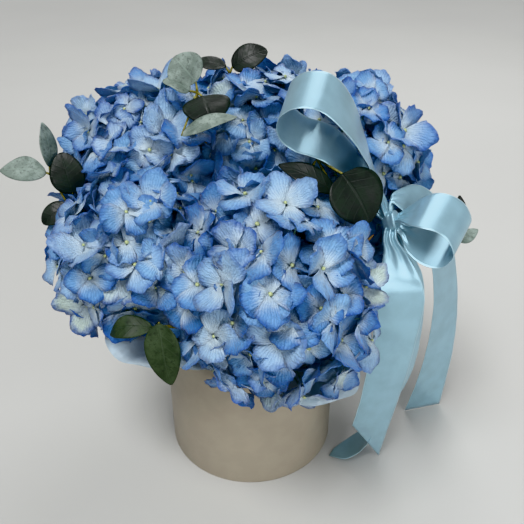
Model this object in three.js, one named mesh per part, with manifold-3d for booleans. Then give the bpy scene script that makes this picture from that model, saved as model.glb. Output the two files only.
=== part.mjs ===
// Hydrangeas in a round hat box: five mophead flowers and six eucalyptus sprigs stand in wet foam
// inside a paper-covered box, with a frosted film collar and a satin bow on a pick.
// Millimetres, +Z up. The origin is the middle of the underside of the box, which stands on a table.
// Azimuth 0 is +X and azimuth -90 is the front.
import * as THREE from 'three';
import { mergeVertices } from 'three/addons/utils/BufferGeometryUtils.js';
import Module from 'manifold-3d';

const wasm = await Module();
wasm.setup();

// ---------------------------------------------------------------- driving dimensions
const GAP = 0.3; // between pieces that touch

const BOX_RADIUS = 75;
const BOX_HEIGHT = 140;
const WALL = 2.4;
const BASE_THICKNESS = 3;
const ROUND_SIDES = 48;

const LINER_THICKNESS = 0.8;
const LINER_BELOW_RIM = 14;
const FOAM_BELOW_LINER = 6;
const FOAM_CHAMFER = 6;

const FILM_SIDES = 36;
const FILM_THICKNESS = 0.7;
const FILM_TUCK = 60; // how far the collar reaches down inside the wall
const FILM_REACH = [20, 53]; // beyond the wall, at the middle of a side and at a corner
const FILM_CORNER_AZIMUTH = 212;
const FILM_RISE = [-9, 15]; // of the free edge over the rim: mean, and its tilt to the back left

const FLOWER_STEM_RADIUS = 3;
const STEM_DEPTH = 62; // below the rim
const STEM_IN_HEAD = 30;
const SPRIG_STEM_RADIUS = 1.6;
const BOW_PICK_RADIUS = 1.5;

const LEAF_THICKNESS = 1;
const RIBBON_WIDTH = 38;
const RIBBON_THICKNESS = 0.8;
const TAIL_SLANT = 58; // of the slanted cut at the end of the front tail
const KNOT_RADII = [8, 8, 10];
const HEAD_CLEARANCE = 0.6; // round everything that passes through a flower head

// The flowers, sprigs and bow below were set out over a box of this radius and height.
// arranged() moves their points out with the wall and up with the rim.
const SET_OUT_RADIUS = 75;
const SET_OUT_HEIGHT = 140;

const LINER_RADIUS = BOX_RADIUS - WALL - 2 * GAP - FILM_THICKNESS;
const FOAM_RADIUS = LINER_RADIUS - LINER_THICKNESS - GAP;
const FOAM_BOTTOM = BASE_THICKNESS + LINER_THICKNESS + 2 * GAP;
const LINER_TOP = BOX_HEIGHT - LINER_BELOW_RIM;
const FOAM_TOP = LINER_TOP - FOAM_BELOW_LINER;

function arranged([x, y, z]) {
  const out = (Math.hypot(x, y) + BOX_RADIUS - SET_OUT_RADIUS) / Math.hypot(x, y);
  return new THREE.Vector3(x * out, y * out, z + BOX_HEIGHT - SET_OUT_HEIGHT);
}

// ---------------------------------------------------------------- materials
const COLOURS = {
  paper: ['#8d857a', 0.6],
  board: ['#c9c2b6', 0.85],
  plastic: ['#dfe6e8', 0.35],
  film: ['#c4d2dc', 0.3],
  foam: ['#3f6b46', 0.95],
  petal: ['#7d9fe0', 0.7],
  stem: ['#6f8a52', 0.7],
  twig: ['#8a7a4c', 0.7],
  paleLeaf: ['#7c918a', 0.6],
  darkLeaf: ['#33453c', 0.5],
  satin: ['#b4d6e4', 0.35],
  wood: ['#b08d5b', 0.8],
};

function material(name) {
  const [color, roughness] = COLOURS[name];
  return new THREE.MeshStandardMaterial({ color, roughness, metalness: 0 });
}

// ---------------------------------------------------------------- solids
const group = new THREE.Group();

function closed(geometry) {
  geometry.deleteAttribute('normal');
  geometry.deleteAttribute('uv');
  const merged = mergeVertices(geometry, 1e-3);
  const mesh = new wasm.Mesh({
    numProp: 3,
    vertProperties: new Float32Array(merged.attributes.position.array),
    triVerts: new Uint32Array(merged.index.array),
  });
  mesh.merge();
  const solid = new wasm.Manifold(mesh);
  if (solid.volume() > 0) return solid;
  const turned = mesh.triVerts.slice();
  for (let i = 0; i < turned.length; i += 3) [turned[i], turned[i + 1]] = [turned[i + 1], turned[i]];
  return new wasm.Manifold(new wasm.Mesh({
    numProp: 3, vertProperties: mesh.vertProperties, triVerts: turned,
  }));
}

function add(name, solid, colour) {
  const { vertProperties, triVerts } = solid.getMesh();
  const geometry = new THREE.BufferGeometry();
  geometry.setAttribute('position', new THREE.BufferAttribute(vertProperties, 3));
  geometry.setIndex(new THREE.BufferAttribute(triVerts, 1));
  geometry.computeVertexNormals();
  const mesh = new THREE.Mesh(geometry, material(colour));
  mesh.name = name;
  group.add(mesh);
  return solid;
}

// The largest lump that is left of a solid once the others are cut away.
function cut(solid, others) {
  const rest = others.reduce((left, other) => left.subtract(other), solid);
  return rest.decompose().reduce((a, b) => (b.volume() > a.volume() ? b : a));
}

function turned(profile, sides = ROUND_SIDES, shape = null) {
  const outline = profile.map(([r, z]) => new THREE.Vector2(r, z));
  const geometry = new THREE.LatheGeometry(outline, sides);
  geometry.rotateX(Math.PI / 2);
  if (shape) shapePoints(geometry, shape);
  return closed(geometry);
}

function shapePoints(geometry, shape) {
  const position = geometry.attributes.position;
  const point = new THREE.Vector3();
  for (let i = 0; i < position.count; i += 1) {
    shape(point.fromBufferAttribute(position, i));
    position.setXYZ(i, point.x, point.y, point.z);
  }
}

// A ring with a rectangular section.
const ring = (inner, outer, low, high) => [
  [inner, low], [outer, low], [outer, high], [inner, high], [inner, low],
];

// A round rod along a smooth path, longer at each end by `more` and thicker by `more`.
function rod(points, radius, more = 0, sides = 8) {
  const path = points.map((point) => point.clone());
  const last = path.length - 1;
  path[0].addScaledVector(path[0].clone().sub(path[1]).normalize(), more);
  path[last].addScaledVector(path[last].clone().sub(path[last - 1]).normalize(), more);
  const section = new THREE.Shape();
  for (let i = 0; i < sides; i += 1) {
    const angle = (i / sides) * 2 * Math.PI;
    const [x, y] = [(radius + more) * Math.cos(angle), (radius + more) * Math.sin(angle)];
    if (i === 0) section.moveTo(x, y);
    else section.lineTo(x, y);
  }
  section.closePath();
  const extrudePath = new THREE.CatmullRomCurve3(path);
  return closed(new THREE.ExtrudeGeometry(section, { steps: 9, bevelEnabled: false, extrudePath }));
}

// ---------------------------------------------------------------- box, liner and foam
add('box_wall', turned(ring(BOX_RADIUS - WALL, BOX_RADIUS, 0, BOX_HEIGHT)), 'paper');

const baseRadius = BOX_RADIUS - WALL - GAP;
add('box_base', turned([[0, 0], [baseRadius, 0], [baseRadius, BASE_THICKNESS], [0, BASE_THICKNESS]]),
  'board');

const linerFloor = BASE_THICKNESS + GAP;
add('liner_cup', turned([
  [0, linerFloor], [LINER_RADIUS, linerFloor], [LINER_RADIUS, LINER_TOP],
  [LINER_RADIUS - LINER_THICKNESS, LINER_TOP],
  [LINER_RADIUS - LINER_THICKNESS, linerFloor + LINER_THICKNESS],
  [0, linerFloor + LINER_THICKNESS],
], 36), 'plastic');

const foamBlank = turned([
  [0, FOAM_BOTTOM], [FOAM_RADIUS, FOAM_BOTTOM], [FOAM_RADIUS, FOAM_TOP - FOAM_CHAMFER],
  [FOAM_RADIUS - FOAM_CHAMFER, FOAM_TOP], [0, FOAM_TOP],
], 36);

// ---------------------------------------------------------------- film collar
// The collar is drawn as a lathe profile in which every point beyond the wall stands for a share
// of the way to the free edge. flare() then moves it to the squarish sheet's own edge.
const filmOuter = BOX_RADIUS - WALL - GAP;
const overRim = BOX_HEIGHT + GAP;
const FILM_ROWS = [[0, 0.9], [0.3, 2.4], [0.65, 2], [1, 0]]; // share of the way out, lift over the rim

const unit = 1000; // one whole reach in the undrawn profile
function flare(point) {
  const radius = Math.hypot(point.x, point.y);
  if (radius <= BOX_RADIUS + 20) return;
  const azimuth = Math.atan2(point.y, point.x);
  const fromCorner = azimuth - THREE.MathUtils.degToRad(FILM_CORNER_AZIMUTH);
  const cornered = (0.5 + 0.5 * Math.cos(4 * fromCorner)) ** 1.4;
  const share = (radius - unit) / unit;
  const reach = THREE.MathUtils.lerp(FILM_REACH[0], FILM_REACH[1], cornered);
  const rise = FILM_RISE[0] + FILM_RISE[1] * Math.cos(azimuth - THREE.MathUtils.degToRad(200));
  const to = BOX_RADIUS + 1 + share * reach;
  point.x = to * Math.cos(azimuth);
  point.y = to * Math.sin(azimuth);
  point.z += share * rise;
}

function filmProfile(lift, inner) {
  const rows = FILM_ROWS.map(([share, height]) => [unit * (1 + share), overRim + height + lift]);
  return [[inner, overRim - GAP], [inner, overRim + lift + 1.5], ...rows];
}

const filmUnder = filmProfile(0, filmOuter);
const filmOver = filmProfile(FILM_THICKNESS, filmOuter - FILM_THICKNESS).reverse();
const film = turned([
  [filmOuter, BOX_HEIGHT - FILM_TUCK], ...filmUnder, ...filmOver,
  [filmOuter - FILM_THICKNESS, BOX_HEIGHT - FILM_TUCK], [filmOuter, BOX_HEIGHT - FILM_TUCK],
], FILM_SIDES, flare);
add('film_collar', film, 'film');

// Everything that the flower heads stay above: the foam, the rim, and the film out to its edge.
const insideFilm = filmOuter - FILM_THICKNESS - 2;
const topOfFilm = filmProfile(FILM_THICKNESS + 1.2, insideFilm).slice(1);
const underHeads = turned([
  [0, -20], [2.1 * unit, -20], [2.1 * unit, topOfFilm.at(-1)[1]], ...topOfFilm.reverse(),
  [insideFilm, FOAM_TOP + 5], [0, FOAM_TOP + 5],
], FILM_SIDES, flare);

const obstacles = []; // solids that the flower heads are cut round
const holes = []; // holes in the foam

// ---------------------------------------------------------------- bow
// Each strip of ribbon has a list of stations: the middle of the strip, the way across it, and its
// width as a share of the full one. Loops are given from the knot. Tails are given from the wall:
// azimuth, distance beyond the wall, and height as a share of the knot's height over the table.
const KNOT = arranged([108, -28, 236]);

const LOOPS = {
  upper: [
    [-5, 4, 11, 0.3, 0.9, 0.3, 0.35], [-13, -1, 30, 0.1, 0.95, 0.15, 0.55],
    [-25, -5, 60, 0.1, 0.95, 0.25, 0.85], [-39, -9, 86, 0.2, 0.9, 0.36, 1],
    [-56, -11, 102, 0.27, 0.88, 0.39, 1], [-73, -7, 102, 0.27, 0.88, 0.39, 1],
    [-83, 1, 91, 0.27, 0.88, 0.39, 1], [-81, 7, 76, 0.27, 0.88, 0.39, 1],
    [-70, 9, 66, 0.27, 0.88, 0.39, 1], [-49, 6, 59, 0.3, 0.88, 0.36, 1],
    [-28, 8, 38, 0.4, 0.8, 0.45, 0.7], [-10, 6, 10, 0.6, 0.6, 0.5, 0.35],
  ],
  side: [
    [7, -5, 7, 0.45, 0.8, 0.3, 0.35], [14, -11, 14, 0.47, 0.83, 0.31, 0.8],
    [23, -17, 18, 0.47, 0.83, 0.31, 1], [34, -22, 17, 0.47, 0.83, 0.31, 1],
    [43, -25, 10, 0.47, 0.83, 0.31, 1], [47, -26, -1, 0.47, 0.83, 0.31, 1],
    [42, -21, -13, 0.47, 0.83, 0.31, 1], [30, -15, -15, 0.47, 0.83, 0.31, 1],
    [18, -9, -11, 0.47, 0.83, 0.31, 0.8], [10, -3, -6, 0.45, 0.8, 0.3, 0.35],
  ],
};

const TAILS = {
  front: [
    [-19.5, 38, 0.955, 1, -0.1, 0, 0.3], [-21, 45, 0.94, 0.95, -0.2, -0.1, 0.5],
    [-24.4, 51, 0.89, 0.95, -0.1, -0.2, 0.75], [-26.2, 56, 0.82, 0.96, 0, -0.1, 0.95],
    [-28.1, 56, 0.735, 0.97, 0.1, 0.1, 1], [-29.3, 56, 0.62, 0.97, 0.2, 0.1, 1],
    [-29.8, 54, 0.49, 0.97, 0.2, 0.1, 1], [-29.9, 50, 0.365, 0.95, 0.25, 0.1, 1],
    [-29.6, 45, 0.24, 0.95, 0.28, 0.05, 1], [-28, 41, 0.128, 0.95, 0.28, 0, 1],
  ],
  middle: [
    [-9, 36, 0.94, 0.9, 0.2, 0, 0.3], [-11.6, 44, 0.87, 0.85, 0.4, 0, 0.6],
    [-13.7, 51, 0.8, 0.75, 0.6, 0, 0.9], [-15.7, 58, 0.69, 0.6, 0.8, 0, 1],
    [-17.1, 61, 0.59, 0.5, 0.85, 0, 1], [-18.2, 60, 0.43, 0.5, 0.85, 0, 1],
    [-18, 54, 0.27, 0.5, 0.85, 0.1, 1], [-17, 48, 0.12, 0.45, 0.87, 0.15, 1],
    [-17.5, 40, 0.035, 0.4, 0.9, 0.08, 1], [-22, 26, 0.006, 0.35, 0.93, 0, 0.9],
    [-29, 10, 0.006, 0.5, 0.85, 0, 0.25],
  ],
  back: [
    [-9, 36, 1.06, 0.3, 0.9, 0.2, 0.35], [-6.5, 47, 1.1, 0.35, 0.9, 0.25, 0.9],
    [-3.5, 62, 1.05, 0.4, 0.85, 0.3, 1], [-1, 77, 0.945, 0.4, 0.88, 0.2, 1],
    [1, 91, 0.77, 0.5, 0.87, 0, 1], [2, 98, 0.64, 0.52, 0.86, 0, 1],
    [3, 102, 0.48, 0.66, 0.74, -0.13, 1], [4, 104, 0.31, 0.76, 0.6, -0.25, 1],
    [5, 103, 0.16, 0.83, 0.47, -0.3, 1], [6, 98, 0.045, 0.86, 0.4, -0.32, 1],
  ],
};

const station = (middle, across, share) => ({
  middle, across: new THREE.Vector3(...across).normalize(), width: RIBBON_WIDTH * share,
});

const loopStations = (rows) => rows.map(([x, y, z, a, b, c, share]) => (
  station(KNOT.clone().add(new THREE.Vector3(x, y, z)), [a, b, c], share)));

const tailStations = (rows) => rows.map(([azimuth, beyond, height, a, b, c, share]) => {
  const angle = THREE.MathUtils.degToRad(azimuth);
  const radius = BOX_RADIUS + beyond;
  const middle = new THREE.Vector3(
    radius * Math.cos(angle), radius * Math.sin(angle), Math.max(KNOT.z * height, 1));
  return station(middle, [a, b, c], share);
});

// `slant` is how much longer the strip is along one edge than along the other at its cut end.
function strip({ stations, slant = 0 }, more = 0) {
  const steps = 3 * (stations.length - 1);
  const middles = new THREE.CatmullRomCurve3(stations.map(({ middle }) => middle));
  const edges = new THREE.CatmullRomCurve3(
    stations.map(({ middle, across, width }) => (
      middle.clone().addScaledVector(across, width / 2))));
  const geometry = new THREE.BoxGeometry(1, RIBBON_THICKNESS + 2 * more, 1, 1, 1, steps);
  shapePoints(geometry, (point) => {
    const t = point.z + 0.5;
    const middle = middles.getPoint(t);
    const along = middles.getTangent(t);
    const half = edges.getPoint(t).sub(middle);
    const across = half.clone().normalize();
    const up = along.clone().cross(across).normalize();
    const reach = half.length() + more;
    const side = 2 * point.x * reach;
    const rise = point.y;
    point.copy(middle)
      .addScaledVector(across, side)
      .addScaledVector(up, rise)
      .addScaledVector(along, 2 * (t - 0.5) * more + (t === 1 ? slant * side / RIBBON_WIDTH : 0));
  });
  return closed(geometry);
}

function egg(radii, more = 0) {
  const geometry = new THREE.IcosahedronGeometry(1, 3);
  shapePoints(geometry, (point) => {
    point.set(...radii.map((radius, i) => (radius + more) * point.getComponent(i))).add(KNOT);
  });
  return closed(geometry);
}

add('ribbon_knot', egg(KNOT_RADII), 'satin');
const knotClear = egg(KNOT_RADII, GAP);
const STRIPS = {
  ribbon_loop_upper: { stations: loopStations(LOOPS.upper) },
  ribbon_loop_side: { stations: loopStations(LOOPS.side) },
  ribbon_tail_front: { stations: tailStations(TAILS.front), slant: TAIL_SLANT },
  ribbon_tail_middle: { stations: tailStations(TAILS.middle) },
  ribbon_tail_back: { stations: tailStations(TAILS.back) },
};
const laid = [knotClear];
for (const [name, form] of Object.entries(STRIPS)) {
  add(name, cut(strip(form), laid), 'satin');
  laid.push(strip(form, GAP));
  obstacles.push(strip(form, HEAD_CLEARANCE));
}
obstacles.push(egg(KNOT_RADII, HEAD_CLEARANCE));

const bowPick = [[30, -8, 90], [44, -12, 130], [72, -18, 184], [98, -26, 226]].map(arranged);
const bowPickClear = rod(bowPick, BOW_PICK_RADIUS, HEAD_CLEARANCE, 6);
add('bow_pick', cut(rod(bowPick, BOW_PICK_RADIUS, 0, 6), laid), 'wood');
holes.push(bowPickClear);
obstacles.push(bowPickClear);

// ---------------------------------------------------------------- leaves and sprigs
// A leaf is a thin block bent to a pointed oval. It springs from `base` towards `tip`, its upper
// face looks along `facing`, its sides fold up by `fold` and its length arches by `arch`.
function leaf({ base, tip, width, facing, fold = 0.15, arch = 0.1, widest = 0.45 }, more = 0) {
  const along = tip.clone().sub(base);
  const length = along.length();
  along.normalize();
  const across = along.clone().cross(facing).normalize();
  const up = across.clone().cross(along);
  const bulge = Math.log(0.5) / Math.log(widest);
  const geometry = new THREE.BoxGeometry(1, LEAF_THICKNESS + 2 * more, 1, 2, 1, 7);
  shapePoints(geometry, (point) => {
    const share = point.z + 0.5;
    const half = 0.6 + (width / 2) * Math.sin(Math.PI * share ** bulge) ** 0.75 + more;
    const side = 2 * point.x * half;
    const rise = point.y + fold * Math.abs(side) + arch * length * Math.sin(Math.PI * share);
    const forward = share * length + 2 * point.z * more;
    point.copy(base).addScaledVector(along, forward).addScaledVector(across, side);
    point.addScaledVector(up, rise);
  });
  return closed(geometry);
}

// Each sprig runs from the foam to its own tip. Its leaves are placed from the tip: where each one
// springs, where it ends, its width and the way its upper face looks.
const SPRIGS = {
  left: {
    path: [[-42, -22, 90], [-58, -18, 150], [-98, -6, 214], [-134, 0, 247], [-153, 0, 262]],
    colour: 'paleLeaf',
    leaves: [
      { from: [-3, -1, 2], to: [-35, -8, 7], width: 21, facing: [0.1, -0.55, 0.8] },
      { from: [-1, 3, 5], to: [-4, 10, 38], width: 17, facing: [0.9, -0.4, 0.1] },
      { from: [17, -7, -13], to: [10, 2, 17], width: 25, facing: [0.2, -0.9, 0.5], dark: true },
      { from: [14, -13, -21], to: [-6, -21, -31], width: 18, facing: [0, -0.6, 0.8], dark: true },
    ],
  },
  back_left: {
    path: [[-16, 14, 90], [-22, 16, 150], [-30, 20, 230], [-36, 23, 300], [-39, 26, 318]],
    colour: 'paleLeaf',
    leaves: [
      { from: [-1, 3, 7], to: [-17, 7, 25], width: 29, facing: [-0.1, -0.75, 0.66], widest: 0.5 },
      { from: [-5, -5, 3], to: [-25, -2, 10], width: 20, facing: [0.1, -0.2, 1] },
      { from: [4, -8, 0], to: [12, -24, -15], width: 36, facing: [0.1, -0.6, 0.85], dark: true },
      { from: [-10, -33, -22], to: [31, -31, -9], width: 17, facing: [0, -0.3, 1] },
    ],
  },
  back: {
    path: [[-4, 26, 90], [-6, 32, 150], [-10, 48, 240], [-14, 60, 308], [-16, 66, 322]],
    colour: 'darkLeaf',
    leaves: [
      { from: [-3, 3, 4], to: [-29, 7, 7], width: 14, facing: [0, -0.5, 0.9] },
      { from: [2, 3, 4], to: [30, 7, 17], width: 22, facing: [-0.2, -0.75, 0.66] },
    ],
  },
  middle: {
    path: [[24, -2, 90], [28, -4, 150], [34, -8, 220], [44, -16, 270], [50, -22, 284]],
    colour: 'darkLeaf',
    leaves: [
      { from: [12, -30, -13], to: [-28, -13, 1], width: 17, facing: [0.1, -0.6, 0.8] },
      { from: [15, -31, 2], to: [35, -40, -31], width: 42, facing: [0.35, -0.8, 0.55], widest: 0.4 },
    ],
  },
  front_left: {
    path: [[-20, -30, 90], [-28, -46, 140], [-40, -66, 164], [-60, -88, 182], [-64, -93, 186]],
    colour: 'darkLeaf',
    leaves: [
      { from: [-3, -3, 1], to: [-36, 5, -11], width: 17, facing: [-0.1, -0.5, 0.86], arch: 0.22 },
      { from: [2, -4, 6], to: [8, -12, -44], width: 25, facing: [-0.1, -0.95, 0.25], widest: 0.38 },
    ],
  },
  right: {
    path: [[46, 4, 90], [60, 14, 150], [104, 24, 164], [150, 27, 172], [176, 29, 188]],
    colour: 'darkLeaf',
    leaves: [
      { from: [3, 2, 4], to: [2, 9, 38], width: 15, facing: [0.3, -0.9, 0.3] },
      { from: [4, -2, 0], to: [19, -4, 12], width: 11, facing: [0.2, -0.8, 0.6], pale: true },
    ],
  },
};

function sprigLeaf(tip, { from, to, width, facing, ...form }) {
  return {
    base: tip.clone().add(new THREE.Vector3(...from)),
    tip: tip.clone().add(new THREE.Vector3(...to)),
    width,
    facing: new THREE.Vector3(...facing).normalize(),
    ...form,
  };
}

for (const [name, { path, leaves, colour }] of Object.entries(SPRIGS)) {
  const points = path.map(arranged);
  const clearRod = rod(points, SPRIG_STEM_RADIUS, HEAD_CLEARANCE, 6);
  holes.push(clearRod);
  obstacles.push(clearRod);
  const stem = add(`sprig_${name}_stem`, rod(points, SPRIG_STEM_RADIUS, 0, 6), 'twig');
  const fitted = [clearRod, ...laid];
  leaves.forEach((entry, index) => {
    const form = sprigLeaf(points.at(-1), entry);
    const solid = cut(leaf(form), fitted);
    const shade = entry.dark ? 'darkLeaf' : (entry.pale ? 'paleLeaf' : colour);
    add(`sprig_${name}_leaf_${index + 1}`, solid, shade);
    const clearLeaf = leaf(form, HEAD_CLEARANCE);
    fitted.push(clearLeaf);
    obstacles.push(clearLeaf);
  });
}

// ---------------------------------------------------------------- flower heads and their stems
// Each head is a dome of florets. `below` is how far it reaches under its middle.
const HEADS = {
  front: { middle: [22, -54, 193], radii: [86, 86, 92], below: 92 },
  left: { middle: [-84, -10, 203], radii: [75, 78, 76], below: 76 },
  right: { middle: [76, 44, 237], radii: [75, 80, 92], below: 88 },
  back: { middle: [12, 64, 264], radii: [74, 70, 68], below: 116 },
  back_left: { middle: [-80, 60, 250], radii: [78, 76, 70], below: 102 },
};
const FLORETS_PER_HEAD = 34;
const FLORET_BUMP = 0.1; // height of a floret over the dome, as a share of its radius
const STEM_SPREAD = 26; // of the stems' feet in the foam
const NECK_SHARE = 0.62; // how far out the top of a stem is, as a share of its head's middle

// Directions spread evenly over a ball.
function spread(count) {
  return Array.from({ length: count }, (_, i) => {
    const z = 1 - (2 * i + 1) / count;
    const angle = i * Math.PI * (3 - Math.sqrt(5));
    return new THREE.Vector3(Math.cos(angle), Math.sin(angle), 0)
      .multiplyScalar(Math.sqrt(1 - z * z)).setZ(z);
  });
}

// The heads fill a wider box by growing as much as their middles move out.
const headRadii = ({ radii }) => radii.map((radius) => radius + BOX_RADIUS - SET_OUT_RADIUS);

function dome(head) {
  const florets = spread(FLORETS_PER_HEAD);
  const centre = arranged(head.middle);
  const radii = headRadii(head);
  const geometry = new THREE.IcosahedronGeometry(1, 5);
  shapePoints(geometry, (point) => {
    point.normalize();
    const nearest = Math.max(...florets.map((floret) => floret.dot(point)));
    const bump = THREE.MathUtils.smoothstep(nearest, 0.93, 0.985);
    const size = 1 - FLORET_BUMP + FLORET_BUMP * bump;
    const height = point.z < 0 ? head.below : radii[2];
    point.set(point.x * radii[0], point.y * radii[1], point.z * height);
    point.multiplyScalar(size).add(centre);
  });
  return closed(geometry);
}

// A slab of space beyond the plane that parts two neighbouring heads, on the side of the second.
function beyond(first, second) {
  const [from, to] = [arranged(first.middle), arranged(second.middle)];
  const normal = to.clone().sub(from).normalize();
  const reach = (head) => 1 / normal.clone().divide(new THREE.Vector3(...headRadii(head))).length();
  const share = reach(first) / (reach(first) + reach(second));
  const size = 600;
  const slab = new THREE.BoxGeometry(size, size, size);
  slab.translate(0, 0, size / 2);
  slab.applyQuaternion(new THREE.Quaternion().setFromUnitVectors(
    new THREE.Vector3(0, 0, 1), normal));
  const place = from.lerp(to, share).addScaledVector(normal, -HEAD_CLEARANCE / 2);
  slab.translate(place.x, place.y, place.z);
  return closed(slab);
}

for (const [name, head] of Object.entries(HEADS)) {
  const [x, y] = head.middle;
  const neck = Math.max(arranged(head.middle).z - head.below, FOAM_TOP + 5) + STEM_IN_HEAD;
  const footShare = STEM_SPREAD / Math.hypot(x, y);
  const points = [0, 0.35, 0.7, 1].map((t) => {
    const share = THREE.MathUtils.lerp(footShare, NECK_SHARE, t ** 1.3);
    const point = arranged([share * x, share * y, 0]);
    return point.setZ(THREE.MathUtils.lerp(BOX_HEIGHT - STEM_DEPTH, neck, t));
  });
  add(`stem_${name}`, rod(points, FLOWER_STEM_RADIUS), 'stem');
  holes.push(rod(points, FLOWER_STEM_RADIUS, GAP));
  obstacles.push(rod(points, FLOWER_STEM_RADIUS, HEAD_CLEARANCE));
}

for (const [name, head] of Object.entries(HEADS)) {
  const others = Object.values(HEADS).filter((other) => other !== head);
  const round = [underHeads, ...others.map((other) => beyond(head, other)), ...obstacles];
  add(`head_${name}`, cut(dome(head), round), 'petal');
}

add('foam_block', cut(foamBlank, holes), 'foam');

export default group;
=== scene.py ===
"""Hydrangeas in a hat box: the looks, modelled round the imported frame.

Lengths in the tables are millimetres in the frame's own axes, with the origin under the middle of
the box, +Z up and the front towards -Y. mm() turns them into Blender's metres.
"""

import math
import random

import bmesh
import bpy
from bpy.props import FloatProperty, FloatVectorProperty, IntProperty, PointerProperty
from mathutils import Matrix, Vector, noise


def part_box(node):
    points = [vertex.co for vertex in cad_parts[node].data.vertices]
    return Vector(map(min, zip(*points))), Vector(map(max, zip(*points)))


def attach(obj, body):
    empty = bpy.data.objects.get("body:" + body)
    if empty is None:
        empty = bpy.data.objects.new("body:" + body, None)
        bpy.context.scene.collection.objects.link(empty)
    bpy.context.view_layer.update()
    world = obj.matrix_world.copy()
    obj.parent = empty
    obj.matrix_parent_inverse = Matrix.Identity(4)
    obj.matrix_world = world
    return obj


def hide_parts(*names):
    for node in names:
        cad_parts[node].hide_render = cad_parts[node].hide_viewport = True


bl_info = {
    "name": "Hydrangeas in a hat box",
    "version": (1, 0, 0),
    "blender": (4, 5, 0),
    "location": "View3D > Sidebar > Flower box",
    "description": "Builds the florets, foliage, ribbon, film and box round the packed frame",
    "category": "Object",
}

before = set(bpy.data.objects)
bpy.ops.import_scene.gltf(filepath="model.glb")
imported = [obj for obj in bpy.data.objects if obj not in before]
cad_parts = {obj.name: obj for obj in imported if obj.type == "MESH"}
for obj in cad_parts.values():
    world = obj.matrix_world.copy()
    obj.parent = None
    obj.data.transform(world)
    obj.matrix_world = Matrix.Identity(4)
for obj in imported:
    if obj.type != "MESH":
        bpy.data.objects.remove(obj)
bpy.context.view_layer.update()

BODY = "root"
MM = 0.001


# ---------------------------------------------------------------- small helpers
def mm(*values):
    """Millimetres as metres: one number, or a vector of three."""
    if len(values) == 1:
        return values[0] * MM
    return Vector(values) * MM


def linear(hex_colour):
    """An sRGB hex colour as linear red, green and blue."""
    channels = [int(hex_colour[i : i + 2], 16) / 255 for i in (1, 3, 5)]
    return tuple(c / 12.92 if c <= 0.04045 else ((c + 0.055) / 1.055) ** 2.4 for c in channels)


def smoothstep(low, high, value):
    share = min(max((value - low) / (high - low), 0), 1)
    return share * share * (3 - 2 * share)


def smooth_path(points, share):
    """The point at a share from 0 to 1 along a smooth curve through the points, in even steps."""
    spans = len(points) - 1
    place = min(max(share, 0), 1) * spans
    index = min(int(place), spans - 1)
    t = place - index
    b, c = points[index], points[index + 1]
    a = points[index - 1] if index > 0 else 2 * b - c
    d = points[index + 2] if index + 2 <= spans else 2 * c - b
    return 0.5 * (2 * b + (c - a) * t + (2 * a - 5 * b + 4 * c - d) * t**2
                  + (3 * b - a - 3 * c + d) * t**3)


# ---------------------------------------------------------------- settings
def length(name, description, default):
    return FloatProperty(name=name, description=description, default=default, unit="LENGTH")


def colour(name, description, hex_colour):
    return FloatVectorProperty(
        name=name, description=description, default=linear(hex_colour), subtype="COLOR",
        min=0, max=1)


class BoxSettings(bpy.types.PropertyGroup):
    """Sizes and colours of the round hat box."""

    wall: length("Wall", "Thickness of the card wall with its covering paper", mm(2.4))
    lap: length("Paper lap", "How far the covering paper laps over itself at the back", mm(12))
    paper: colour("Paper", "Taupe covering paper", "#a29989")
    board: colour("Board", "Uncovered grey board under the base", "#b9b2a6")


class FilmSettings(bpy.types.PropertyGroup):
    """Sizes and colour of the frosted film collar and the liner."""

    thickness: length("Film thickness", "Thickness of the film", mm(0.12))
    tuck: length("Tuck", "How far the film reaches down inside the wall", mm(60))
    film: colour("Film", "Frosted florist film", "#bccfdb")
    liner: colour("Liner", "Plastic liner cup", "#d5dcdd")


class BloomSettings(bpy.types.PropertyGroup):
    """Sizes and colours of the hydrangea florets."""

    floret: length("Floret radius", "From the middle of a floret to the tip of a sepal", mm(20))
    per_head: IntProperty(
        name="Florets", description="Places for florets over a whole head", default=156)
    white: colour("Throat", "Sepal near the middle of the floret", "#dff2fb")
    pale: colour("Pale", "Palest sepals", "#8fc0ec")
    blue: colour("Blue", "Middle of a sepal", "#4789cf")
    deep: colour("Margin", "Margin and veins of a sepal", "#1d55ab")
    cream: colour("Cream", "Greenish cream of the youngest florets", "#c6d6c6")
    bead: colour("Bead", "Bead in the middle of a floret", "#c3cf9a")
    stalk: colour("Stalk", "Stalk of a floret", "#8fae9a")


class FoliageSettings(bpy.types.PropertyGroup):
    """Colours of the eucalyptus and the stems."""

    young_leaf: colour("Young leaf", "Silver-green leaf", "#65736b")
    young_bloom: colour("Young bloom", "Waxy bloom on a young leaf", "#8b9891")
    # The old leaf and its bloom are a dark green leaf darkened further with painted shade, for the
    # leaves that sit among the heads; the dull leaf below is kept lighter for the low leaves in
    # front.
    shaded_old_leaf: colour("Old leaf", "Dark green leaf", "#08130a")
    shaded_old_bloom: colour("Old bloom", "Waxy bloom on an old leaf", "#152317")
    dull_leaf: colour("Dull leaf", "Olive leaf low on the left", "#24331c")
    dull_bloom: colour("Dull bloom", "Waxy bloom on a dull leaf", "#3c4a33")
    twig: colour("Twig", "Bark of a sprig", "#8a8440")
    stem: colour("Flower stem", "Green stem of a flower head", "#7b9257")
    foam: colour("Foam", "Wet floral foam", "#2f5a3a")


class RibbonSettings(bpy.types.PropertyGroup):
    """Sizes and colours of the satin bow."""

    width: length("Width", "Width of the satin ribbon", mm(38))
    thickness: length("Thickness", "Thickness of the ribbon", mm(0.3))
    satin: colour("Satin", "Pale blue satin", "#9cc0cf")
    selvedge: colour("Selvedge", "Woven edge of the ribbon", "#b5d3de")
    pick: colour("Pick", "Birch pick that holds the bow", "#b8975f")


class StageSettings(bpy.types.PropertyGroup):
    """The plain floor."""

    floor: colour("Floor", "Plain pale floor", "#b4b4b1")


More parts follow.
